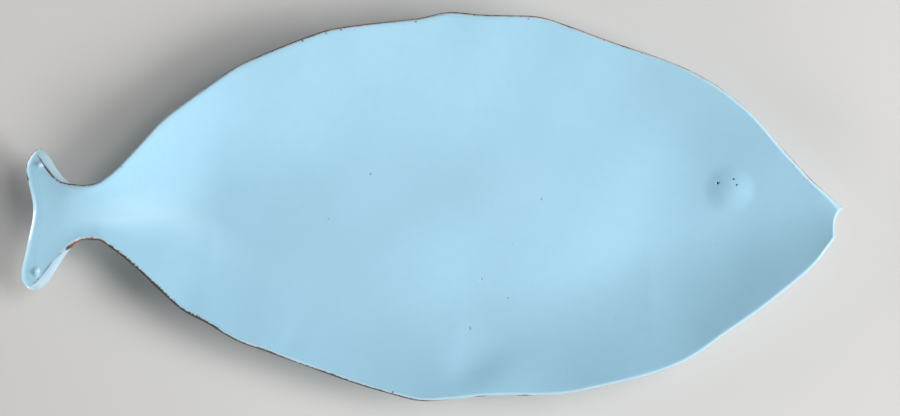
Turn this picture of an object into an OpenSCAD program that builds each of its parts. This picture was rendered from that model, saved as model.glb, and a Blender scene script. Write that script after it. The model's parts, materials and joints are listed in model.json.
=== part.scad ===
// Fish-shaped serving platter of glazed earthenware.
// +X runs from the tail to the mouth, +Y to the back of the fish and +Z up.
// The origin lies on the table, under the middle of the platter.

/* [Body outline] */
// Length from the wrist, where the tail joins, to the tip of the upper lip
body_length = 481; // [430:1:540]
// Reach of the back from the axis of the fish
back_reach = 123; // [105:1:140]
// Reach of the belly from the axis of the fish
belly_reach = 123; // [105:1:140]
// Edge of the wrist above the axis
wrist_above = 13.5; // [11:0.5:18]
// Edge of the wrist below the axis
wrist_below = 21.5; // [17:0.5:26]
// Reach of the upper lip past the lower lip
lip_overhang = 6; // [3:0.5:9]
// Length of body over which the lips part
lip_blend = 40; // [30:1:50]

/* [Tail] */
// Length of the tail from the wrist to its farthest edge
tail_length = 41; // [34:1:50]
// Reach of the upper fin from the axis
upper_fin = 37; // [28:1:46]
// Reach of the lower fin from the axis
lower_fin = 54; // [42:1:64]
// Height of the tail's top above the table
tail_height = 37; // [32:1:42]
// Thickness of the tail
tail_thickness = 10; // [7:0.5:13]
// Drop of the fins' tips below the middle of the tail
fin_droop = 9; // [0:0.5:11]
// Rise of the lip along the tail's free end
tail_lip = 1.4; // [0:0.1:2]
// Run of that lip in from the end
tail_lip_run = 3.5; // [3:0.5:6]

/* [Dish] */
// Height of the rim above the table
rim_height = 38; // [34:1:46]
// Swell of the hand-cut rim above and below that height
rim_wave = 1.2; // [0:0.1:2]
// Length of one swell along the rim
rim_wave_length = 130; // [100:1:180]
// Thickness of the clay
wall_thickness = 6.5; // [5:0.5:8]
// Rounding of the rim's edge, as seen from above
rim_round = 2.8; // [2:0.1:3.5]
// Run of the back's wall from rim to floor near the tail
back_run_tail = 88; // [70:1:100]
// Run of the back's wall near the head
back_run_head = 88; // [70:1:100]
// Run of the belly's wall near the tail
belly_run_tail = 50; // [40:1:64]
// Run of the belly's wall near the head
belly_run_head = 84; // [66:1:96]
// Run of the wall behind the mouth
mouth_run = 130; // [105:1:132]
// Run of the wall in front of the wrist
wrist_run = 86; // [70:1:105]
// Depth of the shallow channel through the wrist
wrist_hollow = 3; // [0:0.5:5]

/* [Eye] */
// Distance of the eye from the wrist
eye_from_wrist = 410.5; // [385:0.5:422]
// Height of the eye above the axis
eye_above_axis = 11; // [0:1:20]
// Diameter of the clay pellet, out to its feathered edge
eye_diameter = 34; // [26:1:40]
// Rise of the pellet from the floor
eye_rise = 2.4; // [1:0.1:4]

/* [Foot] */
// Distance of the foot's middle from the wrist
foot_from_wrist = 232; // [222:1:242]
// Distance of the foot's middle below the axis
foot_below_axis = 9.5; // [7:0.5:11.5]
// Length of the oval foot, outside
foot_length = 232; // [200:1:240]
// Width of the oval foot, outside
foot_width = 76; // [64:1:80]
// Radius of the oval's ends, outside
foot_end_radius = 24; // [18:1:28]
// Height of the foot
foot_height = 5; // [4:0.5:8]
// Width of the foot's band
foot_band = 9; // [7:0.5:12]
// Bevel on the foot's lower edges
foot_bevel = 1.5; // [0.5:0.1:2.5]

/* [Glaze] */
// Thickness of the glaze
glaze_thickness = 0.5; // [0.3:0.1:0.8]
// Bare clay left around the foot
foot_wipe = 2; // [1:0.5:5]

/* [Hidden] */
clay_colour = "#a8724e";
glaze_colour = "#a6d3eb";

// Outline of the body: percent of its length from the wrist, then how far
// the back and the belly have left the wrist for their full reach, in percent
stations = [
    [0, 0, 0], [1, 0.5, 0], [2, 2, 0.5], [4, 8.5, 7], [6, 17.5, 14.5], [8, 27, 23],
    [10, 36.5, 32], [13, 47, 44], [16, 56.5, 51.5], [20, 68.5, 62.5], [24, 76.5, 69.5],
    [28, 83.5, 76.5], [32, 89.5, 83.5], [36, 92.5, 90], [40, 94.5, 95.5], [44, 96.5, 100],
    [48, 100, 99.5], [52, 98.5, 97.5], [56, 98, 97], [60, 97, 97], [64, 91.5, 95.5],
    [68, 85, 91.5], [72, 79, 87], [76, 73, 81.5], [80, 65.5, 73], [84, 55, 60],
    [88, 40.5, 47], [92, 20.5, 32.5], [96, 2, 16], [98, -5.5, 4], [100, -13.5, -9]
];
// Free end of the tail from its lower to its upper tip: percent of its
// length, then percent of the fin's reach
tail_end = [
    [83, -100], [97, -92], [100, -78], [90, -48], [79, -3], [92, 63], [87, 86], [75.5, 100]
];
// The upper fin leaves the wrist later than the lower one
upper_fin_delay = 1.5;
lower_fin_delay = 1;
// Share of each wall's curve that is cut off at its top, which leaves it steep there
back_phase = 0.38;
belly_phase = 0.6;
mouth_phase = 0.53;
wrist_phase = 0.18;
// Most of the body's width that the wall on one side takes
wall_share = 0.38;
// Offsets of the outline's readings that smooth it, in percent of the body's length
smoothing = [-8, -4, 0, 4, 8];
// Swell of the rim: where it starts on each side, in degrees
back_wave_angle = 40;
belly_wave_angle = 190;
// Lines of the surface grid that turn the rounded edge, as shares of its rounding
edge_lines = [0, 0.12, 0.45, 1];
// Share of the glaze's thickness on those lines
glaze_lines = [0, 0, 0.7, 1];
// Counts of grid steps along and across the fish
tail_steps = 6;
back_steps = 36;
eye_steps = 6;
snout_steps = 7;
belly_lines = 6;
eye_lines = 6;
back_lines = 5;
// Step of the foot's outline, in degrees
foot_step_angle = 3;

edge_count = len(edge_lines) - 1;
eye_radius = eye_diameter / 2;
floor_top = foot_height + wall_thickness;
wrist_share = 1 - wrist_hollow / (rim_height - floor_top);

function lerp(a, b, t) = a + (b - a) * t;
function ease(t) = (1 - cos(180 * min(1, t))) / 2;
function steps(a, b, n) = [for (i = [0 : n - 1]) lerp(a, b, i / n)];

// Smooth curve through the rows of a table, from column cx to column cy
function tangent(t, i, cx, cy) =
    let (a = max(0, i - 1), b = min(len(t) - 1, i + 1))
    (t[b][cy] - t[a][cy]) / (t[b][cx] - t[a][cx]);
function along(t, x, cx, cy) =
    let (
        last = len(t) - 1,
        q = min(max(x, t[0][cx]), t[last][cx]),
        i = min(last - 1, max([for (m = [0 : last]) if (t[m][cx] <= q) m])),
        d = t[i + 1][cx] - t[i][cx],
        s = (q - t[i][cx]) / d
    )
    t[i][cy] * (1 + 2 * s) * pow(1 - s, 2) + t[i + 1][cy] * s * s * (3 - 2 * s)
    + d * s * (1 - s) * (tangent(t, i, cx, cy) * (1 - s) - tangent(t, i + 1, cx, cy) * s);

// Edges of the body at a distance x from the wrist, and the cosine of their slant
function share(x, column, table) = along(table, 100 * x / body_length, 0, column) / 100;
function back_y(x, table = stations) = lerp(wrist_above, back_reach, share(x, 1, table));
function belly_y(x, table = stations) = -lerp(wrist_below, belly_reach, share(x, 2, table));
function cosine(slope) = 1 / sqrt(1 + slope * slope);
slope_step = body_length / 500;
function back_cosine(x) = cosine((back_y(x + slope_step) - back_y(x - slope_step)) / (2 * slope_step));
function belly_cosine(x) = cosine((belly_y(x + slope_step) - belly_y(x - slope_step)) / (2 * slope_step));

// The walls follow the outline with the wobble of its cut edge smoothed away
function smoothed(x, column) =
    let (readings = [for (d = smoothing) along(stations, x + d, 0, column)])
    readings * [for (r = readings) 1] / len(readings);
soft_stations = [for (s = stations) [s[0], smoothed(s[0], 1), smoothed(s[0], 2)]];
soft_step = body_length / 40;
function soft_back(x) = back_y(x, soft_stations);
function soft_belly(x) = belly_y(x, soft_stations);
function soft_back_cosine(x) =
    cosine((soft_back(x + soft_step) - soft_back(x - soft_step)) / (2 * soft_step));
function soft_belly_cosine(x) =
    cosine((soft_belly(x + soft_step) - soft_belly(x - soft_step)) / (2 * soft_step));

// Distance from the rim into the dish. The wobble of the cut edge fades down the wall.
function from_rim(depth, wobble, run, slant) =
    (depth - wobble + wobble * pow(max(0, 1 - depth / run), 2)) * slant;

// Wall profile: 1 at the rim, 0 on the floor, for a share s of the run
function wall(s, phase) =
    let (turn = 180 * max(0, lerp(phase, 1, min(1, s))))
    (1 + cos(turn)) / (1 + cos(180 * phase));
function rim_at(x, start) = rim_height + rim_wave * sin(360 * x / rim_wave_length + start);

// Height of the inside of the dish at a point of its plan
function inside(x, y) =
    let (
        top = back_y(x),
        low = belly_y(x),
        soft_top = soft_back(x),
        soft_low = soft_belly(x),
        part = x / body_length,
        widest = wall_share * (soft_top - soft_low),
        back_run = min(widest, lerp(back_run_tail, back_run_head, part)),
        belly_run = min(widest, lerp(belly_run_tail, belly_run_head, part)),
        from_back = from_rim(top - y, top - soft_top, back_run, soft_back_cosine(x)),
        from_belly = from_rim(y - low, soft_low - low, belly_run, soft_belly_cosine(x)),
        back_wall = wall((from_back - rim_round) / back_run, back_phase),
        belly_wall = wall((from_belly - rim_round) / belly_run, belly_phase),
        mouth_wall = wall((body_length - x - rim_round) / mouth_run, mouth_phase),
        wrist_wall = wrist_share * wall(x / wrist_run, wrist_phase),
        rise = 1 - (1 - back_wall) * (1 - belly_wall) * (1 - mouth_wall) * (1 - wrist_wall),
        rim = lerp(rim_at(x, belly_wave_angle), rim_at(x, back_wave_angle), (y - low) / (top - low))
    )
    lerp(floor_top, rim, rise);
// Length of the surface's normal for one unit of height
function steepness(x, y) =
    let (
        dx = (inside(x + slope_step, y) - inside(x - slope_step, y)) / (2 * slope_step),
        dy = (inside(x, y + slope_step) - inside(x, y - slope_step)) / (2 * slope_step)
    )
    sqrt(1 + dx * dx + dy * dy);

// Upper and lower edge of the tail at a share w from wrist to end
lower_tip_x = -tail_length * tail_end[0][0] / 100;
upper_tip_x = -tail_length * tail_end[len(tail_end) - 1][0] / 100;
function fin_low(w) = [lower_tip_x * w, -lerp(wrist_below, lower_fin, ease(pow(w, lower_fin_delay)))];
function fin_top(w) = [upper_tip_x * w, lerp(wrist_above, upper_fin, ease(pow(w, upper_fin_delay)))];
function end_x(y) = -tail_length * along(tail_end, 100 * y / (y < 0 ? lower_fin : upper_fin), 1, 0) / 100;
fin_slope_share = 0.02;
function fin_cosine(w, edge) =
    let (a = edge(max(0, w - fin_slope_share)), b = edge(min(1, w + fin_slope_share)))
    cosine((b.y - a.y) / (b.x - a.x));

// Sections along the fish: shares w of the tail, then distances x on the body
end_lines = [for (e = edge_lines) e * rim_round];
tail_sections = concat(
    [for (i = [0 : edge_count - 1]) 1 - end_lines[i] / tail_length],
    steps(1 - rim_round / tail_length, 0, tail_steps)
);
body_sections = concat(
    steps(0, eye_from_wrist - eye_radius, back_steps),
    steps(eye_from_wrist - eye_radius, eye_from_wrist + eye_radius, eye_steps),
    steps(eye_from_wrist + eye_radius, body_length - rim_round, snout_steps),
    [for (i = [edge_count : -1 : 0]) body_length - end_lines[i]]
);
wrist = len(tail_sections);
sections = wrist + len(body_sections);

// Lines across a section as shares of its width: the rounded edges lie at
// fixed distances from the rim, and the rest are shared out between them
function lines(width, low_cosine, top_cosine, inner) =
    let (
        low = [for (e = end_lines) e / low_cosine / width],
        top = [for (e = end_lines) 1 - e / top_cosine / width]
    )
    concat(
        [for (i = [0 : edge_count - 1]) low[i]],
        [for (q = inner) lerp(low[edge_count], top[edge_count], q)],
        [for (i = [edge_count - 1 : -1 : 0]) top[i]]
    );
eye_low = belly_y(eye_from_wrist) + rim_round / belly_cosine(eye_from_wrist);
eye_top = back_y(eye_from_wrist) - rim_round / back_cosine(eye_from_wrist);
eye_from = (eye_above_axis - eye_radius - eye_low) / (eye_top - eye_low);
eye_to = (eye_above_axis + eye_radius - eye_low) / (eye_top - eye_low);
inner_lines = concat(
    steps(0, eye_from, belly_lines),
    steps(eye_from, eye_to, eye_lines),
    steps(eye_to, 1, back_lines),
    [1]
);
across = len(inner_lines) + 2 * edge_count;

// Points of the plan, each with the height of the full slab's top, the
// thickness of the clay and the steepness there
function tail_row(w) =
    let (
        low = fin_low(w),
        top = fin_top(w),
        shares = lines(
            top.y - low.y,
            fin_cosine(w, function (q) fin_low(q)),
            fin_cosine(w, function (q) fin_top(q)),
            inner_lines
        ),
        away = ease(w),
        lip = tail_lip * pow(max(0, 1 - (1 - w) * tail_length / tail_lip_run), 2)
    )
    [for (v = shares)
        let (
            y = lerp(low.y, top.y, v),
            bow = end_x(lerp(-lower_fin, upper_fin, v)) - lerp(lower_tip_x, upper_tip_x, v),
            x = lerp(low.x, top.x, v) + bow * w * w,
            root_y = lerp(-wrist_below, wrist_above, v),
            flat = tail_height + lip - fin_droop * pow(2 * v - 1, 2) * w
        )
        [
            x,
            y,
            lerp(inside(x, root_y), flat, away),
            lerp(wall_thickness, tail_thickness, away),
            lerp(steepness(x, root_y), 1, away)
        ]
    ];
function body_row(x) =
    let (
        bow = lip_overhang * pow(max(0, 1 - (body_length - x) / lip_blend), 2),
        low = belly_y(x - bow),
        top = back_y(x),
        shares = lines(top - low, belly_cosine(x - bow), back_cosine(x), inner_lines)
    )
    [for (v = shares)
        let (px = x - bow * (1 - pow(v, 4)), py = lerp(low, top, v))
        [px, py, inside(px, py), wall_thickness, steepness(px, py)]
    ];
plan = concat([for (w = tail_sections) tail_row(w)], [for (x = body_sections) body_row(x)]);

// Line of the rounded edge that a grid point lies on, counted from the rim
function edge_line(k, j) = min(k, sections - 1 - k, j, across - 1 - j, edge_count);
function swell(k, j) = sqrt(1 - pow(1 - edge_lines[edge_line(k, j)], 2));
function dome(i, from, count) = pow(max(0, 1 - pow(2 * (i - from) / count - 1, 2)), 2);
eye_section = wrist + back_steps;
eye_line = edge_count + belly_lines;
function pellet(k, j) = eye_rise * dome(k, eye_section, eye_steps) * dome(j, eye_line, eye_lines);
function coat(k, j) = glaze_thickness * glaze_lines[edge_line(k, j)] * plan[k][j][4];

// The plan is moved so that the platter's box is centred on the origin
plan_x = [for (row = plan) for (p = row) p.x];
plan_y = [for (row = plan) for (p = row) p.y];
shift_x = -(min(plan_x) + max(plan_x)) / 2;
shift_y = -(min(plan_y) + max(plan_y)) / 2;
function lifted(k, j, rise) =
    let (p = plan[k][j], half = p[3] * p[4] / 2)
    [p.x + shift_x, p.y + shift_y, p[2] - half + rise(k, j, half)];

// Layers that bound the solids, from the lowest to the highest
under_coat = function (k, j, half) -half * swell(k, j) - coat(k, j);
clay_under = function (k, j, half) -half * swell(k, j);
clay_top = function (k, j, half) half * swell(k, j);
pellet_top = function (k, j, half) half * swell(k, j) + pellet(k, j);
upper_coat = function (k, j, half) half * swell(k, j) + pellet(k, j) + coat(k, j);

// Two triangles of a grid cell, clockwise from above. Each cell is split
// towards the middle of its block, so that a corner keeps no loose triangle.
function in_eye(k, j) =
    k >= eye_section && k < eye_section + eye_steps && j >= eye_line && j < eye_line + eye_lines;
function split_outwards(k, j) =
    in_eye(k, j)
        ? (k < eye_section + eye_steps / 2) == (j < eye_line + eye_lines / 2)
        : (k < sections / 2) == (j < across / 2);
function cell(a, b, c, d, outwards) = outwards ? [[a, d, c], [a, c, b]] : [[a, d, b], [d, c, b]];
function turned(f) = [f[0], f[2], f[1]];

// Closed solid between two layers over a block of the grid. The layers meet
// on its borders, except at an end that is cut square.
module between(upper, lower, k0, k1, j0, j1, cut_start = false, cut_end = false) {
    rows = k1 - k0 + 1;
    cols = j1 - j0 + 1;
    count = rows * cols;
    up = function (k, j) k * cols + j;
    down = function (k, j)
        j == 0 || j == cols - 1 || (k == 0 && !cut_start) || (k == rows - 1 && !cut_end)
            ? k * cols + j : count + k * cols + j;
    cells = function (id) [for (k = [0 : rows - 2], j = [0 : cols - 2])
        each cell(id(k, j), id(k + 1, j), id(k + 1, j + 1), id(k, j + 1), split_outwards(k0 + k, j0 + j))];
    top_faces = cells(up);
    low_faces = [for (f = cells(down)) turned(f)];
    start_faces = [for (j = [0 : cols - 2]) if (cut_start)
        each [[up(0, j + 1), up(0, j), down(0, j)], [up(0, j + 1), down(0, j), down(0, j + 1)]]];
    e = rows - 1;
    end_faces = [for (j = [0 : cols - 2]) if (cut_end)
        each [[up(e, j), up(e, j + 1), down(e, j + 1)], [up(e, j), down(e, j + 1), down(e, j)]]];
    all_faces = concat(top_faces, low_faces, start_faces, end_faces);
    polyhedron(
        points = concat(
            [for (k = [k0 : k1], j = [j0 : j1]) lifted(k, j, upper)],
            [for (k = [k0 : k1], j = [j0 : j1]) lifted(k, j, lower)]
        ),
        faces = [for (f = all_faces) if (f[0] != f[1] && f[1] != f[2] && f[2] != f[0]) f]
    );
}

// Oval of four arcs: two about points on the long axis, two about points on the short one
foot_end_x0 = foot_length / 2 - foot_end_radius;
foot_half = foot_width / 2;
foot_side_radius = (pow(foot_end_x0, 2) + pow(foot_half, 2) - pow(foot_end_radius, 2))
    / (2 * (foot_half - foot_end_radius));
foot_side_y0 = foot_side_radius - foot_half;
foot_turn = atan2(foot_side_y0, foot_end_x0);
foot_centre = [foot_from_wrist + shift_x, shift_y - foot_below_axis];

function arc(centre, radius, from, to) =
    let (n = ceil((to - from) / foot_step_angle))
    [for (i = [0 : n - 1]) let (a = lerp(from, to, i / n)) centre + radius * [cos(a), sin(a)]];
function foot_outline(grow) = concat(
    arc([foot_end_x0, 0], foot_end_radius + grow, -foot_turn, foot_turn),
    arc([0, -foot_side_y0], foot_side_radius + grow, foot_turn, 180 - foot_turn),
    arc([-foot_end_x0, 0], foot_end_radius + grow, 180 - foot_turn, 180 + foot_turn),
    arc([0, foot_side_y0], foot_side_radius + grow, 180 + foot_turn, 360 - foot_turn)
);

// Section of the foot's coil: distance in from its outline, and height
foot_section = [
    [foot_bevel, 0],
    [0, foot_bevel],
    [0, foot_height],
    [foot_band, foot_height],
    [foot_band, foot_bevel],
    [foot_band - foot_bevel, 0]
];

// Pressed clay dish with the head and the mouth
module dish_body() {
    color(clay_colour)
        between(clay_top, clay_under, wrist, sections - 1, 0, across - 1, cut_start = true);
}

// Forked clay tail, luted to the dish at the wrist
module tail_fin() {
    color(clay_colour)
        between(clay_top, clay_under, 0, wrist, 0, across - 1, cut_end = true);
}

// Pellet of clay pressed on the floor for the eye
module eye_pellet() {
    color(clay_colour)
        between(
            pellet_top, clay_top,
            eye_section, eye_section + eye_steps,
            eye_line, eye_line + eye_lines
        );
}

// Oval coil of clay that the dish stands on
module foot_ring() {
    count = len(foot_outline(0));
    sides = len(foot_section);
    id = function (i, k) (i % sides) * count + k % count;
    color(clay_colour)
        translate([foot_centre.x, foot_centre.y, 0])
            polyhedron(
                points = [for (p = foot_section, q = foot_outline(-p[0])) [q.x, q.y, p[1]]],
                faces = [for (i = [0 : sides - 1], k = [0 : count - 1])
                    each cell(id(i, k), id(i, k + 1), id(i + 1, k + 1), id(i + 1, k), true)]
            );
}

// Coat of glaze over the inside, the eye and the tail
module upper_glaze() {
    color(glaze_colour)
        between(upper_coat, pellet_top, 1, sections - 2, 1, across - 2);
}

// Coat of glaze under the walls and the tail, wiped off around and inside the foot
module under_glaze() {
    color(glaze_colour)
        difference() {
            between(clay_under, under_coat, 1, sections - 2, 1, across - 2);
            translate([foot_centre.x, foot_centre.y, 0])
                linear_extrude(height = floor_top)
                    polygon(foot_outline(foot_wipe));
        }
}

dish_body();
tail_fin();
eye_pellet();
foot_ring();
upper_glaze();
under_glaze();
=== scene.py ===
"""Fish-shaped serving platter of pale blue glazed earthenware, seen from above on a pale table.

Lengths are in millimetres until a mesh is made. As in the part's source, x runs from the wrist to
the mouth, y from the axis of the fish to its back and z up from the table.
"""
import json
import math

import bmesh
import bpy
import numpy as np
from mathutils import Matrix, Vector


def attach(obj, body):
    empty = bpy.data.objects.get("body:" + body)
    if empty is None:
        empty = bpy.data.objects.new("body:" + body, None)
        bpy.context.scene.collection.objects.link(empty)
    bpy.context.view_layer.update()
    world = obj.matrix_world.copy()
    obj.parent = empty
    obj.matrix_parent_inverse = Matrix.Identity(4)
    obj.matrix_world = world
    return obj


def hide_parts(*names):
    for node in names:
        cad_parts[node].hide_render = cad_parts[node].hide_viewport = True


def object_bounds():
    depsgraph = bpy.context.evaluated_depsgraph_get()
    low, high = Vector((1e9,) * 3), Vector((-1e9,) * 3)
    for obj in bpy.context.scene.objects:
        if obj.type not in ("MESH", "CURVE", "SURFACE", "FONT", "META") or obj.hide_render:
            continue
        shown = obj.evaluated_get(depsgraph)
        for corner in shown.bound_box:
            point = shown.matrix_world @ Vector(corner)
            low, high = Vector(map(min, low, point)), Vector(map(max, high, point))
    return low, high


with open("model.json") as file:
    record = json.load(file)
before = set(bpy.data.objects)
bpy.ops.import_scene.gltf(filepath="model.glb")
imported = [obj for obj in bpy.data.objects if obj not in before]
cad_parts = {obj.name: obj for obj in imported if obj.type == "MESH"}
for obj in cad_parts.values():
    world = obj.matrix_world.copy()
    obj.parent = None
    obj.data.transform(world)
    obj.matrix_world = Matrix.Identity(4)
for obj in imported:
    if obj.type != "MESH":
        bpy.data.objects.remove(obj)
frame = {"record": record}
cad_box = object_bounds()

MM = 0.001

# Body outline
BODY_LENGTH = 481
BACK_REACH = 123
BELLY_REACH = 123
WRIST_ABOVE = 13.5
WRIST_BELOW = 21.5
LIP_OVERHANG = 6
LIP_BLEND = 40
# Percent of the body's length, then percent of the way from the wrist's edge to the full reach
STATIONS = np.array([
    [0, 0, 0], [1, 0.5, 0], [2, 2, 0.5], [4, 8.5, 7], [6, 17.5, 14.5], [8, 27, 23],
    [10, 36.5, 32], [13, 47, 44], [16, 56.5, 51.5], [20, 68.5, 62.5], [24, 76.5, 69.5],
    [28, 83.5, 76.5], [32, 89.5, 83.5], [36, 92.5, 90], [40, 94.5, 95.5], [44, 96.5, 100],
    [48, 100, 99.5], [52, 98.5, 97.5], [56, 98, 97], [60, 97, 97], [64, 91.5, 95.5],
    [68, 85, 91.5], [72, 79, 87], [76, 73, 81.5], [80, 65.5, 73], [84, 55, 60],
    [88, 40.5, 47], [92, 20.5, 32.5], [96, 2, 16], [98, -5.5, 4], [100, -13.5, -9],
])

# Tail
TAIL_LENGTH = 41
UPPER_FIN = 37
LOWER_FIN = 54
TAIL_HEIGHT = 37
TAIL_THICKNESS = 10
FIN_DROOP = 9
TAIL_LIP = 2
TAIL_LIP_RUN = 3.5
# Free end from the lower to the upper tip: percent of the tail's length, percent of the fin's reach
TAIL_END = np.array([
    [83, -100], [97, -92], [100, -78], [90, -48], [79, -3], [92, 63], [87, 86], [75.5, 100],
])
UPPER_FIN_DELAY = 1.5

# Dish
RIM_HEIGHT = 38
RIM_WAVE = 1.2
RIM_WAVE_LENGTH = 130
BACK_WAVE_ANGLE = 40
BELLY_WAVE_ANGLE = 190
WALL_THICKNESS = 6.5
RIM_ROUND = 2.8
END_ROUND = 0.8
BACK_RUN = (88, 88)
BELLY_RUN = (50, 84)
MOUTH_RUN = 130
WRIST_RUN = 86
WRIST_HOLLOW = 3
BACK_PHASE = 0.38
BELLY_PHASE = 0.6
MOUTH_PHASE = 0.53
WRIST_PHASE = 0.18
WALL_SHARE = 0.38

# Eye, foot and glaze
EYE_FROM_WRIST = 410.5
EYE_ABOVE_AXIS = 11
EYE_RADIUS = 17
EYE_RISE = 2.4
FOOT_FROM_WRIST = 232
FOOT_BELOW_AXIS = 9.5
FOOT_LENGTH = 232
FOOT_WIDTH = 76
FOOT_END_RADIUS = 24
FOOT_HEIGHT = 5
FOOT_BAND = 9
FOOT_BEVEL = 1.5
FOOT_FILLET = 1.4
GLAZE_THICKNESS = 0.5
FOOT_WIPE = 2

FLOOR_TOP = FOOT_HEIGHT + WALL_THICKNESS
WRIST_SHARE = 1 - WRIST_HOLLOW / (RIM_HEIGHT - FLOOR_TOP)

# Share of the edge's rounding within which the coat reaches its full thickness
COAT_START = 0.6
# How much narrower the worn line is on the outside of the rim than on the inside
UNDER_LINE = 1.7

# Steps of the surface grid, the foot, the eye and the pinholes
EDGE_STEPS = 7
TAIL_STEPS = 66
BODY_STEPS = 230
ACROSS_STEPS = 92
FOOT_ARC_STEPS = 48
FOOT_ROUND_STEPS = 6
EYE_RINGS = 14
EYE_SPOKES = 56
EYE_CENTRE_SHARE = 0.04
PINHOLE_STEPS = 10
# Edges that turn by more than this many degrees look sharp
SHARP_ANGLE = 50
# Distance by which a cutter stands out of what it cuts
CUT_MARGIN = 1

# Slow waves of the clay's surface: height, length of one radian along x and along y, start
CLAY_WAVES = [(0.22, 19, 31, 0), (0.18, 13, -17, 2)]
# Hollows (+) and lumps (-) left by the potter's hands: x, y, half length, half width, turn, depth
HAND_MARKS = [
    (236, -78, 15, 5, 90, -0.2),
    (254, -92, 26, 15, 4, 2.4),
    (244, -105, 15, 9, 0, 2.2),
    (266, -106, 14, 9, 0, -0.7),
    (200, -23, 24, 18, 20, -0.5),
    (130, -86, 18, 6, 60, 0.4),
    (310, 38, 56, 24, 10, -0.35),
    (150, 40, 40, 26, -20, -0.5),
    (340, -50, 46, 22, 35, -0.4),
]
# Beads of glaze: x, y, half length, half width, rise
BEADS = [(-29.2, 26.6, 2.8, 2.4, 2.4), (-31, -41.6, 2.8, 3.6, 2.4)]
# Pinholes in the glaze: x, y, radius
PINHOLES = [
    (402.7, 14.9, 0.75), (412.4, 17.4, 0.6), (414.3, 13.6, 0.55), (136.5, 0.3, 0.22), (180, 21, 0.22),
    (153, -8, 0.22), (290, 4.7, 0.22), (268.5, -59, 0.25), (251.5, -47, 0.22), (244, -78.5, 0.22),
]
PINHOLE_DEPTH = 3.4
# Height over the clay, then share of the pinhole's radius
PINHOLE_PROFILE = ((-PINHOLE_DEPTH, 0.45), (-PINHOLE_DEPTH / 2, 0.75), (0.2, 0.9), (2.5, 1.4))


def lerp(a, b, t):
    return a + (b - a) * t


def ease(t):
    return (1 - np.cos(np.pi * np.clip(t, 0, 1))) / 2


def along(xs, ys, q):
    """Smooth curve through the points (xs, ys), read at q."""
    slopes = np.empty(len(ys))
    slopes[1:-1] = (ys[2:] - ys[:-2]) / (xs[2:] - xs[:-2])
    slopes[0] = (ys[1] - ys[0]) / (xs[1] - xs[0])
    slopes[-1] = (ys[-1] - ys[-2]) / (xs[-1] - xs[-2])
    q = np.clip(q, xs[0], xs[-1])
    i = np.clip(np.searchsorted(xs, q, side="right") - 1, 0, len(xs) - 2)
    d = xs[i + 1] - xs[i]
    s = (q - xs[i]) / d
    ends = ys[i] * (1 + 2 * s) * (1 - s) ** 2 + ys[i + 1] * s * s * (3 - 2 * s)
    return ends + d * s * (1 - s) * (slopes[i] * (1 - s) - slopes[i + 1] * s)


def back_y(x, table=STATIONS):
    return lerp(WRIST_ABOVE, BACK_REACH, along(table[:, 0], table[:, 1], 100 * x / BODY_LENGTH) / 100)


def belly_y(x, table=STATIONS):
    return -lerp(WRIST_BELOW, BELLY_REACH, along(table[:, 0], table[:, 2], 100 * x / BODY_LENGTH) / 100)


# The walls follow the outline with the wobble of its cut edge smoothed away
SMOOTHING = (-8, -4, 0, 4, 8)
SOFT_STATIONS = np.stack([
    STATIONS[:, 0],
    np.mean([along(STATIONS[:, 0], STATIONS[:, 1], STATIONS[:, 0] + d) for d in SMOOTHING], axis=0),
    np.mean([along(STATIONS[:, 0], STATIONS[:, 2], STATIONS[:, 0] + d) for d in SMOOTHING], axis=0),
], axis=1)
SLOPE_STEP = BODY_LENGTH / 500
SOFT_STEP = BODY_LENGTH / 40


def cosine(curve, x, step=SLOPE_STEP):
    slope = (curve(x + step) - curve(x - step)) / (2 * step)
    return 1 / np.sqrt(1 + slope ** 2)


def soft_back(x):
    return back_y(x, SOFT_STATIONS)


def soft_belly(x):
    return belly_y(x, SOFT_STATIONS)


def wall(s, phase):
    """Profile of a wall: 1 at the rim and 0 on the floor, for a share s of its run."""
    t = np.maximum(0, lerp(phase, 1, np.minimum(1, s)))
    return (1 + np.cos(np.pi * t)) / (1 + math.cos(math.pi * phase))


def rim_at(x, start):
    return RIM_HEIGHT + RIM_WAVE * np.sin(np.radians(360 * x / RIM_WAVE_LENGTH + start))


def from_rim(depth, offset, run, slant):
    """Distance from the rim into the dish. The offset of the cut edge fades down the wall."""
    return (depth - offset + offset * np.maximum(0, 1 - depth / run) ** 2) * slant


def inside(x, y):
    """Height of the inside of the dish at a point of its plan."""
    top, low = back_y(x), belly_y(x)
    part = x / BODY_LENGTH
    widest = WALL_SHARE * (soft_back(x) - soft_belly(x))
    back_run = np.minimum(widest, lerp(*BACK_RUN, part))
    belly_run = np.minimum(widest, lerp(*BELLY_RUN, part))
    from_back = from_rim(top - y, top - soft_back(x), back_run, cosine(soft_back, x, SOFT_STEP))
    from_belly = from_rim(y - low, soft_belly(x) - low, belly_run, cosine(soft_belly, x, SOFT_STEP))
    back_wall = wall((from_back - RIM_ROUND) / back_run, BACK_PHASE)
    belly_wall = wall((from_belly - RIM_ROUND) / belly_run, BELLY_PHASE)
    mouth_wall = wall((BODY_LENGTH - x - RIM_ROUND) / MOUTH_RUN, MOUTH_PHASE)
    wrist_wall = WRIST_SHARE * wall(x / WRIST_RUN, WRIST_PHASE)
    rise = 1 - (1 - back_wall) * (1 - belly_wall) * (1 - mouth_wall) * (1 - wrist_wall)
    rim = lerp(rim_at(x, BELLY_WAVE_ANGLE), rim_at(x, BACK_WAVE_ANGLE), (y - low) / (top - low))
    return lerp(FLOOR_TOP, rim, rise)


def steepness(x, y):
    """Length of the inside's normal for one unit of height."""
    dx = (inside(x + SLOPE_STEP, y) - inside(x - SLOPE_STEP, y)) / (2 * SLOPE_STEP)
    dy = (inside(x, y + SLOPE_STEP) - inside(x, y - SLOPE_STEP)) / (2 * SLOPE_STEP)
    return np.sqrt(1 + dx ** 2 + dy ** 2)


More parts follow.
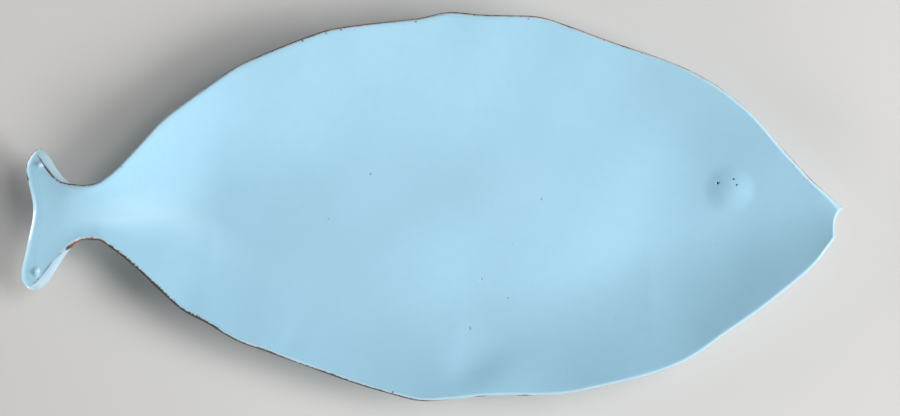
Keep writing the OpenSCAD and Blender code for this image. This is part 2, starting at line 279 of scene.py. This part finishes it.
LOWER_TIP_X = -TAIL_LENGTH * TAIL_END[0, 0] / 100
UPPER_TIP_X = -TAIL_LENGTH * TAIL_END[-1, 0] / 100


def fin_low(w):
    return LOWER_TIP_X * w, -lerp(WRIST_BELOW, LOWER_FIN, ease(w))


def fin_top(w):
    return UPPER_TIP_X * w, lerp(WRIST_ABOVE, UPPER_FIN, ease(w ** UPPER_FIN_DELAY))


def end_x(y):
    reach = np.where(y < 0, LOWER_FIN, UPPER_FIN)
    return -TAIL_LENGTH * along(TAIL_END[:, 1], TAIL_END[:, 0], 100 * y / reach) / 100


def fin_cosine(edge, w, step=0.02):
    ax, ay = edge(max(0, w - step))
    bx, by = edge(min(1, w + step))
    return 1 / math.hypot(1, (by - ay) / (bx - ax))


# Lines of the grid that turn the rounded edge: share of its rounding and of the half thickness
EDGE_TURN = np.linspace(0, math.pi / 2, EDGE_STEPS + 1)
EDGE_SHARE = 1 - np.cos(EDGE_TURN)
EDGE_SWELL = np.sin(EDGE_TURN)


def lines(width, low_cosine, top_cosine):
    """Shares of a section's width at which the lines of the grid cross it."""
    low = EDGE_SHARE * RIM_ROUND / low_cosine / width
    top = 1 - EDGE_SHARE * RIM_ROUND / top_cosine / width
    inner = np.linspace(low[-1], top[-1], ACROSS_STEPS + 1)
    return np.concatenate([low[:-1], inner, top[-2::-1]])


def tail_row(w):
    """x, y, height of the top, thickness, steepness and distances to the edges, across the tail."""
    (low_x, low_y), (top_x, top_y) = fin_low(w), fin_top(w)
    cos_low, cos_top = fin_cosine(fin_low, w), fin_cosine(fin_top, w)
    v = lines(top_y - low_y, cos_low, cos_top)
    y = lerp(low_y, top_y, v)
    bow = end_x(lerp(-LOWER_FIN, UPPER_FIN, v)) - lerp(LOWER_TIP_X, UPPER_TIP_X, v)
    away = ease(w)
    x, root_y = lerp(low_x, top_x, v) + bow * w * w, lerp(-WRIST_BELOW, WRIST_ABOVE, v)
    lip = TAIL_LIP * max(0, 1 - (1 - w) * TAIL_LENGTH / TAIL_LIP_RUN) ** 2
    flat = TAIL_HEIGHT + lip - FIN_DROOP * (2 * v - 1) ** 2 * w
    return np.stack([
        x,
        y,
        lerp(inside(x, root_y), flat, away),
        np.full_like(v, lerp(WALL_THICKNESS, TAIL_THICKNESS, away)),
        lerp(steepness(x, root_y), 1, away),
        (y - low_y) * cos_low,
        (top_y - y) * cos_top,
        np.full_like(v, (1 - w) * TAIL_LENGTH),
    ], axis=1)


def body_row(x):
    """The same across the body, at a distance x from the wrist."""
    bow = LIP_OVERHANG * max(0, 1 - (BODY_LENGTH - x) / LIP_BLEND) ** 2
    low, top = belly_y(x - bow), back_y(x)
    cos_low, cos_top = cosine(belly_y, x - bow), cosine(back_y, x)
    v = lines(top - low, cos_low, cos_top)
    px, py = x - bow * (1 - v ** 4), lerp(low, top, v)
    return np.stack([
        px,
        py,
        inside(px, py),
        np.full_like(v, WALL_THICKNESS),
        steepness(px, py),
        (py - low) * cos_low,
        (top - py) * cos_top,
        np.full_like(v, BODY_LENGTH - x),
    ], axis=1)


tail_sections = np.concatenate([
    1 - EDGE_SHARE[:-1] * END_ROUND / TAIL_LENGTH,
    np.linspace(1 - END_ROUND / TAIL_LENGTH, 0, TAIL_STEPS, endpoint=False),
])
body_sections = np.concatenate([
    np.linspace(0, BODY_LENGTH - RIM_ROUND, BODY_STEPS, endpoint=False),
    BODY_LENGTH - EDGE_SHARE[::-1] * RIM_ROUND,
])
WRIST = len(tail_sections)
SECTIONS = WRIST + len(body_sections)
grid = np.array([tail_row(w) for w in tail_sections] + [body_row(x) for x in body_sections])
ACROSS = grid.shape[1]
PLAN_X, PLAN_Y, TOP, THICKNESS, STEEPNESS, FROM_BELLY, FROM_BACK, FROM_END = np.moveaxis(grid, 2, 0)

# The plan is centred on the CAD model's box
cad_centre = (cad_box[0] + cad_box[1]) / 2 / MM
SHIFT_X = cad_centre.x - (PLAN_X.min() + PLAN_X.max()) / 2
SHIFT_Y = cad_centre.y - (PLAN_Y.min() + PLAN_Y.max()) / 2


def hand_marks(x, y):
    """Rise and fall of the floor under the potter's hands."""
    total = 0
    for height, run_x, run_y, start in CLAY_WAVES:
        total = total + height * np.sin(x / run_x + y / run_y + start)
    for mx, my, half_length, half_width, turn, depth in HAND_MARKS:
        c, s = math.cos(math.radians(turn)), math.sin(math.radians(turn))
        u = ((x - mx) * c + (y - my) * s) / half_length
        v = ((y - my) * c - (x - mx) * s) / half_width
        total = total - depth * np.exp(-(u * u + v * v))
    return total


def eye_dome(x, y):
    r2 = ((x - EYE_FROM_WRIST) ** 2 + (y - EYE_ABOVE_AXIS) ** 2) / EYE_RADIUS ** 2
    return EYE_RISE * np.maximum(0, 1 - r2) ** 2


def beads(x, y):
    """Drops of thicker glaze near the tips of the fins."""
    total = 0
    for bx, by, half_length, half_width, rise in BEADS:
        r2 = ((x - bx) / half_length) ** 2 + ((y - by) / half_width) ** 2
        total = total + rise * np.maximum(0, 1 - r2) ** 2
    return total


k, j = np.meshgrid(np.arange(SECTIONS), np.arange(ACROSS), indexing="ij")
FROM_BORDER = np.minimum(np.minimum(k, SECTIONS - 1 - k), np.minimum(j, ACROSS - 1 - j))
EDGE_LINE = np.minimum(FROM_BORDER, EDGE_STEPS)
HALF = THICKNESS * STEEPNESS / 2
MIDDLE = TOP - HALF
SWELL = HALF * EDGE_SWELL[EDGE_LINE]
COAT = GLAZE_THICKNESS * STEEPNESS * ease(EDGE_SHARE[EDGE_LINE] / COAT_START)
MARKS = hand_marks(PLAN_X, PLAN_Y) * EDGE_SWELL[EDGE_LINE] ** 2

# Layers that bound the pieces, from the lowest to the highest
under_coat = MIDDLE - SWELL - COAT
clay_under = MIDDLE - SWELL
clay_top = MIDDLE + SWELL + MARKS
pellet_top = clay_top + eye_dome(PLAN_X, PLAN_Y)
upper_coat = pellet_top + COAT + beads(PLAN_X, PLAN_Y)

# Glaze worn off the rim: x from the wrist, then width of the worn line
BACK_WEAR = (
    [0, 60, 100, 140, 340, 356, 408, 418, 438, 446, 470, 481],
    [0.6, 0.45, 0.6, 0.9, 0.8, 0.5, 0.45, 0.12, 0.12, 0.5, 0.5, 0.2],
)
BELLY_WEAR = (
    [0, 12, 60, 120, 200, 222, 236, 245, 248, 253, 256, 273, 276, 281, 284],
    [1.5, 1.9, 1.8, 1.2, 1.0, 0.7, 0.1, 0.1, 0.8, 0.8, 0.1, 0.1, 0.8, 0.8, 0.1],
)
# The same along the tail's free end, by y
END_WEAR = (
    [15, 17, 20, 21.5, 24, 25, 26, 27, 28.5, 34],
    [0.15, 1.4, 1.4, 0.2, 0.2, 1.1, 1.1, 0.3, 1, 1],
)
UPPER_FIN_WEAR = 0.36
LOWER_FIN_WEAR = 0.14
FIN_WEAR_BLEND = 0.5
# The mouth's edge keeps its glaze for this far, and the wear grows over this run
MOUTH_GLAZED = 2.8
MOUTH_WEAR_RUN = 14
# Strength of the brown clay in the worn line, by x from the wrist. Where it is low, the line takes
# the near-black painted shade of the rim's rounding instead
BACK_BROWN = ([0, 100, 140], [0.15, 0.2, 1])
BELLY_BROWN = ([-12, -5, 7, 16, 190, 215], [0.1, 2.5, 2.5, 0.1, 0.05, 0.5])
# On the fins the glaze is thin along the upper arris, not on the outer wall: start and run of the
# change along the tail
ARRIS_START = 0.1
ARRIS_BLEND = 0.5
# The fins are glossy farther in from their edges than the body: where that starts along the tail,
# and the share of the distance that counts at its end
FIN_GLOSS_START = 0.45
FIN_GLOSS = 0.15
# Distances closer than this count as equal
SAME_DISTANCE = 0.01

RIM_DISTANCE = np.minimum(np.minimum(FROM_BELLY, FROM_BACK), FROM_END)
AT_END = FROM_END[:WRIST] <= RIM_DISTANCE[:WRIST] + SAME_DISTANCE
ON_BELLY = FROM_BELLY < FROM_BACK
BROWN = np.where(ON_BELLY, np.interp(PLAN_X, *BELLY_BROWN), np.interp(PLAN_X, *BACK_BROWN))
WEAR = np.where(ON_BELLY, np.interp(PLAN_X, *BELLY_WEAR), np.interp(PLAN_X, *BACK_WEAR))
FIN_WEAR = np.where(ON_BELLY, LOWER_FIN_WEAR, UPPER_FIN_WEAR)[:WRIST]
WEAR[:WRIST] = lerp(WEAR[WRIST], FIN_WEAR, ease(tail_sections / FIN_WEAR_BLEND)[:, None])
WEAR[:WRIST] = np.where(AT_END, np.interp(PLAN_Y[:WRIST], *END_WEAR), WEAR[:WRIST])
WEAR[WRIST:] *= ease((FROM_END[WRIST:] - MOUTH_GLAZED) / MOUTH_WEAR_RUN)
ARRIS = np.zeros_like(WEAR)
ARRIS[:WRIST] = RIM_ROUND * ease((tail_sections - ARRIS_START) / ARRIS_BLEND)[:, None] * ~AT_END
LINE_DISTANCE = np.abs(RIM_DISTANCE - ARRIS)
GLOSS_DISTANCE = np.where(beads(PLAN_X, PLAN_Y) > 0, 0, RIM_DISTANCE)
fin_share = ease((tail_sections - FIN_GLOSS_START) / (1 - FIN_GLOSS_START))
GLOSS_DISTANCE[:WRIST] *= lerp(1, FIN_GLOSS, fin_share)[:, None]


def make_mesh(name, points, faces, values=None):
    """Smooth object from points in millimetres, with a value per point for each name in values."""
    mesh = bpy.data.meshes.new(name)
    mesh.from_pydata((np.asarray(points) * MM).tolist(), [], faces)
    for key, value in (values or {}).items():
        layer = mesh.attributes.new(key, "FLOAT", "POINT")
        layer.data.foreach_set("value", np.asarray(value, np.float32))
    mesh.shade_smooth()
    mesh.set_sharp_from_angle(angle=math.radians(SHARP_ANGLE))
    mesh.update()
    obj = bpy.data.objects.new(name, mesh)
    bpy.context.scene.collection.objects.link(obj)
    return obj


def grid_points(layer, rows):
    block = np.stack([PLAN_X[rows] + SHIFT_X, PLAN_Y[rows] + SHIFT_Y, layer[rows]], axis=2)
    return block.reshape(-1, 3)


def between(name, upper, lower, rows, cut_start=False, cut_end=False, under_line=0.0):
    """Closed piece between two layers over a range of sections. The layers meet on the borders."""
    n, m = len(range(SECTIONS)[rows]), ACROSS
    ids = np.arange(n * m).reshape(n, m)
    joined = np.zeros((n, m), bool)
    joined[:, [0, -1]] = True
    joined[0] |= not cut_start
    joined[-1] |= not cut_end
    low_ids = np.where(joined, ids, ids + n * m)

    def cells(c):
        return np.stack([c[:-1, :-1], c[1:, :-1], c[1:, 1:], c[:-1, 1:]], axis=2).reshape(-1, 4)

    faces = cells(ids).tolist() + cells(low_ids)[:, ::-1].tolist()
    for wanted, row, turned in ((cut_start, 0, False), (cut_end, n - 1, True)):
        if wanted:
            loop = list(ids[row]) + list(low_ids[row, -2:0:-1])
            faces.append([int(i) for i in (loop[::-1] if turned else loop)])
    points = np.concatenate([grid_points(upper, rows), grid_points(lower, rows)])
    line = LINE_DISTANCE[rows].ravel()
    values = {
        "line_mm": np.concatenate([line, line + under_line]),
        "wear": np.tile(WEAR[rows].ravel(), 2),
        "rim_mm": np.tile(RIM_DISTANCE[rows].ravel(), 2),
        "gloss_mm": np.tile(GLOSS_DISTANCE[rows].ravel(), 2),
        "brown": np.tile(BROWN[rows].ravel(), 2),
    }
    return make_mesh(name, points, faces, values)


def drop_loose(obj):
    """Removes the points that the joined borders left unused."""
    mesh = obj.data
    used = np.zeros(len(mesh.vertices), bool)
    corners = np.empty(len(mesh.loops), np.int32)
    mesh.loops.foreach_get("vertex_index", corners)
    used[corners] = True
    bm = bmesh.new()
    bm.from_mesh(mesh)
    bm.verts.ensure_lookup_table()
    bmesh.ops.delete(bm, geom=[bm.verts[i] for i in np.flatnonzero(~used)], context="VERTS")
    bm.to_mesh(mesh)
    bm.free()


def cut(obj, cutter):
    """Subtracts the cutter from an object."""
    step = obj.modifiers.new("cut", "BOOLEAN")
    step.operation = "DIFFERENCE"
    step.solver = "EXACT"
    step.object = cutter
    bpy.context.view_layer.update()
    evaluated = obj.evaluated_get(bpy.context.evaluated_depsgraph_get())
    mesh = bpy.data.meshes.new_from_object(evaluated)
    obj.modifiers.clear()
    old = obj.data
    obj.data = mesh
    mesh.name = obj.name
    bpy.data.meshes.remove(old)


def tube_faces(count, n):
    """Faces through count rings of n points each, capped at both ends."""
    faces = [
        [r * n + i, r * n + (i + 1) % n, (r + 1) * n + (i + 1) % n, (r + 1) * n + i]
        for r in range(count - 1) for i in range(n)
    ]
    faces.append(list(range(n))[::-1])
    faces.append([(count - 1) * n + i for i in range(n)])
    return faces


def tube(name, rings):
    """Closed object through rings of points."""
    return make_mesh(name, np.concatenate(rings), tube_faces(len(rings), len(rings[0])))


# Oval of the foot: two end arcs and two side arcs
FOOT_END_X0 = FOOT_LENGTH / 2 - FOOT_END_RADIUS
FOOT_HALF = FOOT_WIDTH / 2
FOOT_SIDE_RADIUS = (
    (FOOT_END_X0 ** 2 + FOOT_HALF ** 2 - FOOT_END_RADIUS ** 2) / (2 * (FOOT_HALF - FOOT_END_RADIUS))
)
FOOT_SIDE_Y0 = FOOT_SIDE_RADIUS - FOOT_HALF
FOOT_TURN = math.atan2(FOOT_SIDE_Y0, FOOT_END_X0)


def foot_oval(grow, z):
    """Points round the oval, moved out by grow, at a height z."""
    turn = FOOT_TURN
    arcs = (
        (FOOT_END_X0, 0, FOOT_END_RADIUS, -turn, turn),
        (0, -FOOT_SIDE_Y0, FOOT_SIDE_RADIUS, turn, math.pi - turn),
        (-FOOT_END_X0, 0, FOOT_END_RADIUS, math.pi - turn, math.pi + turn),
        (0, FOOT_SIDE_Y0, FOOT_SIDE_RADIUS, math.pi + turn, 2 * math.pi - turn),
    )
    points = []
    for cx, cy, radius, start, stop in arcs:
        for a in np.linspace(start, stop, FOOT_ARC_STEPS, endpoint=False):
            points.append((
                FOOT_FROM_WRIST + SHIFT_X + cx + (radius + grow) * math.cos(a),
                SHIFT_Y - FOOT_BELOW_AXIS + cy + (radius + grow) * math.sin(a),
                z,
            ))
    return np.array(points)


def foot_ring():
    """Coil of clay with rounded lower edges, smoothed into the floor above it."""
    quarter = np.linspace(0, math.pi / 2, FOOT_ROUND_STEPS)
    outer = [
        (FOOT_FILLET * (1 - math.sin(a)), FOOT_HEIGHT - FOOT_FILLET * (1 - math.cos(a)))
        for a in quarter
    ]
    outer += [(FOOT_BEVEL * (math.cos(a) - 1), FOOT_BEVEL * (1 - math.sin(a))) for a in quarter]
    inner = [(-FOOT_BAND - grow, z) for grow, z in outer[::-1]]
    rings = [foot_oval(grow, z) for grow, z in outer + inner]
    n, count = len(rings[0]), len(rings)
    faces = [
        [r * n + i, (r + 1) % count * n + i, (r + 1) % count * n + (i + 1) % n, r * n + (i + 1) % n]
        for r in range(count) for i in range(n)
    ]
    return make_mesh("foot_ring_clay", np.concatenate(rings), faces)


def eye_pellet():
    """Low dome of clay between the floor and the glaze."""
    angle = np.linspace(0, 2 * math.pi, EYE_SPOKES, endpoint=False)

    def ring(share, dome):
        x = EYE_FROM_WRIST + EYE_RADIUS * share * np.cos(angle)
        y = EYE_ABOVE_AXIS + EYE_RADIUS * share * np.sin(angle)
        z = inside(x, y) + hand_marks(x, y) + dome * eye_dome(x, y)
        return np.stack([x + SHIFT_X, y + SHIFT_Y, z], axis=1)

    shares = np.linspace(EYE_CENTRE_SHARE, 1, EYE_RINGS)
    layers = [ring(s, 0) for s in shares] + [ring(s, 1) for s in shares[-2::-1]]
    return tube("eye_clay", layers)


def pinhole_cutters():
    """Tapered cutters that sink through the glaze into the clay, in one object."""
    angle = np.linspace(0, 2 * math.pi, PINHOLE_STEPS, endpoint=False)
    points, faces = [], []
    for x, y, radius in PINHOLES:
        here = np.array([x], float), np.array([y], float)
        base = float((inside(*here) + eye_dome(*here))[0])
        first = len(points)
        for z, share in PINHOLE_PROFILE:
            reach = radius * share
            points += [
                (x + SHIFT_X + reach * math.cos(a), y + SHIFT_Y + reach * math.sin(a), base + z)
                for a in angle
            ]
        faces += [[first + i for i in face] for face in tube_faces(len(PINHOLE_PROFILE), PINHOLE_STEPS)]
    return make_mesh("pinholes", points, faces)


# Shader nodes
def add(tree, kind, links=None, **settings):
    """A node with its settings, and with its inputs linked or set."""
    node = tree.nodes.new("ShaderNode" + kind)
    for key, value in settings.items():
        setattr(node, key, value)
    for key, value in (links or {}).items():
        if isinstance(value, bpy.types.NodeSocket):
            tree.links.new(value, node.inputs[key])
        else:
            node.inputs[key].default_value = value
    return node


def math_node(tree, operation, a, b):
    return add(tree, "Math", {0: a, 1: b}, operation=operation).outputs[0]


def noise(tree, place, scale, detail=2):
    """Noise with the scale in cells per metre."""
    return add(tree, "TexNoise", {"Vector": place, "Scale": scale, "Detail": detail}).outputs[0]


def remap(tree, value, low, high, to_low=0.0, to_high=1.0, curve="LINEAR"):
    limits = {0: value, 1: low, 2: high, 3: to_low, 4: to_high}
    return add(tree, "MapRange", limits, interpolation_type=curve).outputs[0]


def mixed(tree, share, a, b):
    return add(tree, "Mix", {0: share, 6: a, 7: b}, data_type="RGBA").outputs[2]


def new_material(name):
    material = bpy.data.materials.new(name)
    material.use_nodes = True
    tree = material.node_tree
    return material, tree, tree.nodes["Principled BSDF"]


def rgba(colour, gain=1.0):
    return (*[c * gain for c in colour], 1.0)


slot_colour = {m["slot"]: m["base_color"] for m in frame["record"]["materials"]}
GLAZE = slot_colour["blue_glaze"]
CLAY = slot_colour["bare_clay"]
# Painted reflection: pale colour of a band along the rim, standing in for the sheen on its rounding
PAINTED_RIM_SHEEN = (0.53, 0.67, 0.74)
THIN_GLAZE = (0.45, 0.46, 0.46)
# Near-black painted shade for the worn line where the rim's rounding lies in shade
PAINTED_EDGE_SHADE = (0.04, 0.034, 0.033)
BROWN_EDGE = (0.27, 0.1, 0.045)
SPECK = (0.16, 0.17, 0.18)
# Usual range of a noise texture's values
NOISE = (0.3, 0.7)
# Changes of tone, as factors of the colour
GLAZE_TONES = (0.96, 1.04)
MOTTLE_TONE = 0.94
MOTTLE_RANGE = (0.35, 0.7)
MOTTLE_SHARE = 0.25
CLAY_TONES = (0.8, 1.25)
GRAIN_TONE = 0.45
GRAIN_RANGE = (0.58, 0.75)
# Specks: cells per metre, share of the cells without one, largest radius and soft edge in cells
SPECK_CELLS = 42
SPECK_FREE = 0.86
SPECK_RADIUS = 0.011
SPECK_EDGE = (-0.003, 0.004)
# Worn line: factors of its width, fraying, the noise that breaks it into dashes, and the wear from
# which it is whole
LINE_WIDTH = (0.6, 1.3)
LINE_FRAY = (-0.35, 0.35)
DASHES = (0.4, 0.5)
WHOLE_FROM = (0.4, 0.6)
# Beside that line: run and strength of the thin glaze, and soft edge of the bare clay
THIN_RUN = 0.6
THIN_SHARE = 0.75
BARE_EDGE = (-0.12, 0.18)
BROWN_RANGE = (0.38, 0.56)
# Painted reflection along the rim, a pale band for the sheen on its rounding: width, run of its fading
# and strength
RIM_SHEEN_WIDTH = (2.2, 3.6)
RIM_SHEEN_RUN = 2.4
RIM_SHEEN_SHARE = 0.7
# Drips inside the worn line: cells per metre, radius and soft edge in cells, chance, distance from the
# rim, wear from which they show, and strength
DRIP_CELLS = 210
DRIP_RADIUS = 0.16
DRIP_EDGE = (-0.03, 0.05)
DRIP_CHANCE = (0.7, 0.74)
DRIP_REACH = (3.2, 1.8)
DRIP_FROM = (0.4, 0.7)
DRIP_SHARE = 0.8
# Roughness of the glaze inside the dish and at the rim, and the distances between which it changes
SATIN = (0.36, 0.42)
RIM_GLOSS = 0.06
GLOSS_RUN = (1.0, 5.0)
GLAZE_IOR = 1.5
BARE_ROUGHNESS = 0.6
CLAY_ROUGHNESS = (0.68, 0.86)
# Bump of the glaze and of the clay: strength, distance in metres
GLAZE_PEEL = (0.12, 0.0006)
CLAY_GRAIN = (0.35, 0.0003)


def roughen(tree, shader, height, strength, distance):
    bump = add(tree, "Bump", {"Strength": strength, "Distance": distance, "Height": height})
    tree.links.new(bump.outputs[0], shader.inputs["Normal"])


def clay_colour(tree, place):
    """Fired terracotta with darker grains and a slow change of tone."""
    tone = remap(tree, noise(tree, place, 40, 3), *NOISE)
    grain = remap(tree, noise(tree, place, 900), *GRAIN_RANGE)
    base = mixed(tree, tone, *[rgba(CLAY, gain) for gain in CLAY_TONES])
    return mixed(tree, grain, base, rgba(CLAY, GRAIN_TONE))


def attribute(tree, name):
    return add(tree, "Attribute", attribute_name=name).outputs["Fac"]


def glaze_material():
    """Glossy pale blue glaze, brown where it runs thin over an edge; painted shade and reflection at
    the rim.
    """
    material, tree, shader = new_material("blue_glaze")
    place = add(tree, "TexCoord").outputs["Object"]
    flat = add(tree, "Mapping", {"Vector": place, "Scale": (1, 1, 0)}).outputs[0]

    def spots(scale):
        """A random value per cell, in two channels, and the distance to the cell's centre."""
        cells = add(tree, "TexVoronoi", {"Vector": flat, "Scale": scale}, voronoi_dimensions="2D")
        chance = add(tree, "SeparateColor", {0: cells.outputs["Color"]})
        return chance.outputs[0], chance.outputs[1], cells.outputs["Distance"]

    # Slow change of tone and fine mottling
    tone = remap(tree, noise(tree, place, 11, 3), *NOISE)
    mottle = remap(tree, noise(tree, place, 160, 4), *MOTTLE_RANGE)
    mottle = math_node(tree, "MULTIPLY", mottle, MOTTLE_SHARE)
    blue = mixed(tree, tone, *[rgba(GLAZE, gain) for gain in GLAZE_TONES])
    blue = mixed(tree, mottle, blue, rgba(GLAZE, MOTTLE_TONE))

    # Dark specks
    _, chance, distance = spots(SPECK_CELLS)
    radius = remap(tree, chance, SPECK_FREE, 1.0, 0.0, SPECK_RADIUS)
    speck = remap(tree, math_node(tree, "SUBTRACT", radius, distance), *SPECK_EDGE)
    speckled = mixed(tree, speck, blue, rgba(SPECK))

    # Worn line along the rim, with thin glaze beside it and a painted reflection (a pale band) along
    # the rim
    line, rim, wear = [attribute(tree, name) for name in ("line_mm", "rim_mm", "wear")]
    coarse = remap(tree, noise(tree, place, 55), *NOISE, *LINE_WIDTH)
    fine = remap(tree, noise(tree, place, 620, 3), *NOISE, *LINE_FRAY)
    dashes = remap(tree, noise(tree, place, 190), *DASHES)
    whole = math_node(tree, "MAXIMUM", dashes, remap(tree, wear, *WHOLE_FROM))
    width = math_node(tree, "MULTIPLY", wear, math_node(tree, "ADD", coarse, fine))
    over = math_node(tree, "SUBTRACT", math_node(tree, "MULTIPLY", width, whole), line)
    reach = remap(tree, noise(tree, place, 90), *NOISE, *RIM_SHEEN_WIDTH)
    within = math_node(tree, "SUBTRACT", reach, rim)
    painted_sheen = remap(tree, within, 0.0, RIM_SHEEN_RUN, 0.0, RIM_SHEEN_SHARE, "SMOOTHSTEP")
    thin = remap(tree, over, -THIN_RUN, 0.0, 0.0, THIN_SHARE)
    bare = remap(tree, over, *BARE_EDGE)

    # Drips just inside that line
    chance, _, distance = spots(DRIP_CELLS)
    drip = remap(tree, math_node(tree, "SUBTRACT", DRIP_RADIUS, distance), *DRIP_EDGE)
    drip = math_node(tree, "MULTIPLY", drip, remap(tree, chance, *DRIP_CHANCE))
    near = math_node(tree, "MULTIPLY", remap(tree, rim, *DRIP_REACH), remap(tree, wear, *DRIP_FROM))
    drip = math_node(tree, "MULTIPLY", drip, near)

    # The worn line is brown bare clay, turning to near-black painted shade where the rim's rounding
    # lies in shade
    brown = remap(tree, noise(tree, place, 45, 3), *BROWN_RANGE)
    brown = math_node(tree, "MULTIPLY", attribute(tree, "brown"), brown)
    worn_and_shaded_edge = mixed(tree, brown, rgba(PAINTED_EDGE_SHADE), rgba(BROWN_EDGE))
    edged = mixed(tree, thin, mixed(tree, painted_sheen, speckled, rgba(PAINTED_RIM_SHEEN)), rgba(THIN_GLAZE))
    marked = math_node(tree, "MAXIMUM", bare, math_node(tree, "MULTIPLY", drip, DRIP_SHARE))
    tree.links.new(mixed(tree, marked, edged, worn_and_shaded_edge), shader.inputs["Base Color"])

    # Gloss
    satin = remap(tree, noise(tree, place, 30), *NOISE, *SATIN)
    inward = remap(tree, attribute(tree, "gloss_mm"), *GLOSS_RUN, curve="SMOOTHERSTEP")
    gloss = add(tree, "Mix", {0: inward, 2: RIM_GLOSS, 3: satin}).outputs[0]
    rough = add(tree, "Mix", {0: bare, 2: gloss, 3: BARE_ROUGHNESS}).outputs[0]
    tree.links.new(rough, shader.inputs["Roughness"])
    shader.inputs["IOR"].default_value = GLAZE_IOR
    roughen(tree, shader, noise(tree, place, 210), *GLAZE_PEEL)
    return material


def clay_material():
    material, tree, shader = new_material("bare_clay")
    place = add(tree, "TexCoord").outputs["Object"]
    tree.links.new(clay_colour(tree, place), shader.inputs["Base Color"])
    rough = remap(tree, noise(tree, place, 500, 3), *NOISE, *CLAY_ROUGHNESS)
    tree.links.new(rough, shader.inputs["Roughness"])
    roughen(tree, shader, noise(tree, place, 1100, 4), *CLAY_GRAIN)
    return material


def dress(obj, material, slot, *nodes):
    obj.data.materials.clear()
    obj.data.materials.append(material)
    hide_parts(*nodes)
    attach(obj, "root")


glaze, clay = glaze_material(), clay_material()
dish = between("dish_clay", clay_top, clay_under, slice(WRIST, SECTIONS), cut_start=True)
tail = between("tail_clay", clay_top, clay_under, slice(0, WRIST + 1), cut_end=True)
upper = between("upper_glaze_coat", upper_coat, pellet_top, slice(0, SECTIONS))
under = between("under_glaze_coat", clay_under, under_coat, slice(0, SECTIONS), under_line=UNDER_LINE)
for piece in (dish, tail, upper, under):
    drop_loose(piece)
wiped = tube("wiped", [foot_oval(FOOT_WIPE, -CUT_MARGIN), foot_oval(FOOT_WIPE, FLOOR_TOP)])
cut(under, wiped)
pinholes = pinhole_cutters()
pellet = eye_pellet()
for piece in (upper, pellet, dish):
    cut(piece, pinholes)
for cutter in (wiped, pinholes):
    bpy.data.objects.remove(cutter)

dress(dish, clay, "bare_clay", "dish_body")
dress(tail, clay, "bare_clay", "tail_fin")
dress(pellet, clay, "bare_clay", "eye_pellet")
dress(foot_ring(), clay, "bare_clay", "foot_ring")
dress(upper, glaze, "blue_glaze", "upper_glaze")
dress(under, glaze, "blue_glaze", "under_glaze")

# Table. Far from the object the camera sees it fade into the pale surroundings.
TABLE_SIZE = 6.0
TABLE_COLOUR = (0.64, 0.63, 0.61)
TABLE_ROUGHNESS = 0.9
# Distances in metres from the middle of the table
FADE_START = 0.5
FADE_END = 2.0
SURROUNDINGS = 0.8
table_mesh = bpy.data.meshes.new("table")
half = TABLE_SIZE / 2
corners = [(-half, -half, 0), (half, -half, 0), (half, half, 0), (-half, half, 0)]
table_mesh.from_pydata(corners, [], [(0, 1, 2, 3)])
table = bpy.data.objects.new("table", table_mesh)
bpy.context.scene.collection.objects.link(table)
table_material, tree, table_shader = new_material("table")
table_shader.inputs["Base Color"].default_value = rgba(TABLE_COLOUR)
table_shader.inputs["Roughness"].default_value = TABLE_ROUGHNESS
place = add(tree, "TexCoord").outputs["Object"]
from_centre = add(tree, "VectorMath", {0: place}, operation="LENGTH").outputs["Value"]
far = remap(tree, from_centre, FADE_START, FADE_END, curve="SMOOTHSTEP")
far = math_node(tree, "MULTIPLY", far, add(tree, "LightPath").outputs["Is Camera Ray"])
haze = add(tree, "Emission", {"Color": (1, 1, 1, 1), "Strength": SURROUNDINGS})
fade = add(tree, "MixShader", {0: far, 1: table_shader.outputs[0], 2: haze.outputs[0]})
tree.links.new(fade.outputs[0], tree.nodes["Material Output"].inputs["Surface"])
table_mesh.materials.append(table_material)

# Light: a broad window on the right, and weaker soft light from three more sides.
# Azimuth and elevation in degrees, distance and size in metres, power in watts
LIGHTS = {
    "window": (-12, 34, 2.5, 1.3, 16.2),
    "upper_right": (20, 55, 2.5, 1.2, 6.1),
    "left": (168, 22, 1.8, 0.7, 2.0),
    "below": (-102, 20, 1.8, 1.1, 2.7),
}
# The lamps' beams are narrowed, so that the table under them stays grey
SPREAD = 90
# Light from the surroundings: on everything, and as seen in the glaze
FILL = 0.04
REFLECTED = 0.45

for name, (azimuth, elevation, distance, size, power) in LIGHTS.items():
    lamp = bpy.data.lights.new(name, "AREA")
    lamp.size = size
    lamp.energy = power
    lamp.spread = math.radians(SPREAD)
    az, el = math.radians(azimuth), math.radians(elevation)
    towards = Vector((math.cos(el) * math.cos(az), math.cos(el) * math.sin(az), math.sin(el)))
    lamp_object = bpy.data.objects.new(name, lamp)
    lamp_object.location = towards * distance
    lamp_object.rotation_euler = towards.to_track_quat("Z", "Y").to_euler()
    bpy.context.scene.collection.objects.link(lamp_object)

# The surroundings look pale to the camera and in the glaze, but give little light
world = bpy.data.worlds.new("world")
world.use_nodes = True
tree = world.node_tree
path = add(tree, "LightPath")
reflected = remap(tree, path.outputs["Is Glossy Ray"], 0, 1, FILL, REFLECTED)
seen = math_node(tree, "MULTIPLY", path.outputs["Is Camera Ray"], SURROUNDINGS)
level = math_node(tree, "MAXIMUM", reflected, seen)
tree.links.new(level, tree.nodes["Background"].inputs["Strength"])
tree.nodes["Background"].inputs["Color"].default_value = (1, 1, 1, 1)
bpy.context.scene.world = world

# Camera straight above. The view's width is that of the photograph at the height of the rim.
SENSOR = 36
CAMERA_HEIGHT = 1350
VIEW_WIDTH = 568.8
VIEW_CENTRE = (11.5, -1)
camera = bpy.data.cameras.new("camera")
camera.sensor_width = SENSOR
camera.sensor_fit = "HORIZONTAL"
camera.lens = SENSOR * (CAMERA_HEIGHT - RIM_HEIGHT) / VIEW_WIDTH
camera_object = bpy.data.objects.new("camera", camera)
camera_object.location = (VIEW_CENTRE[0] * MM, VIEW_CENTRE[1] * MM, CAMERA_HEIGHT * MM)
bpy.context.scene.collection.objects.link(camera_object)
bpy.context.scene.camera = camera_object
bpy.context.scene.view_settings.view_transform = "Standard"
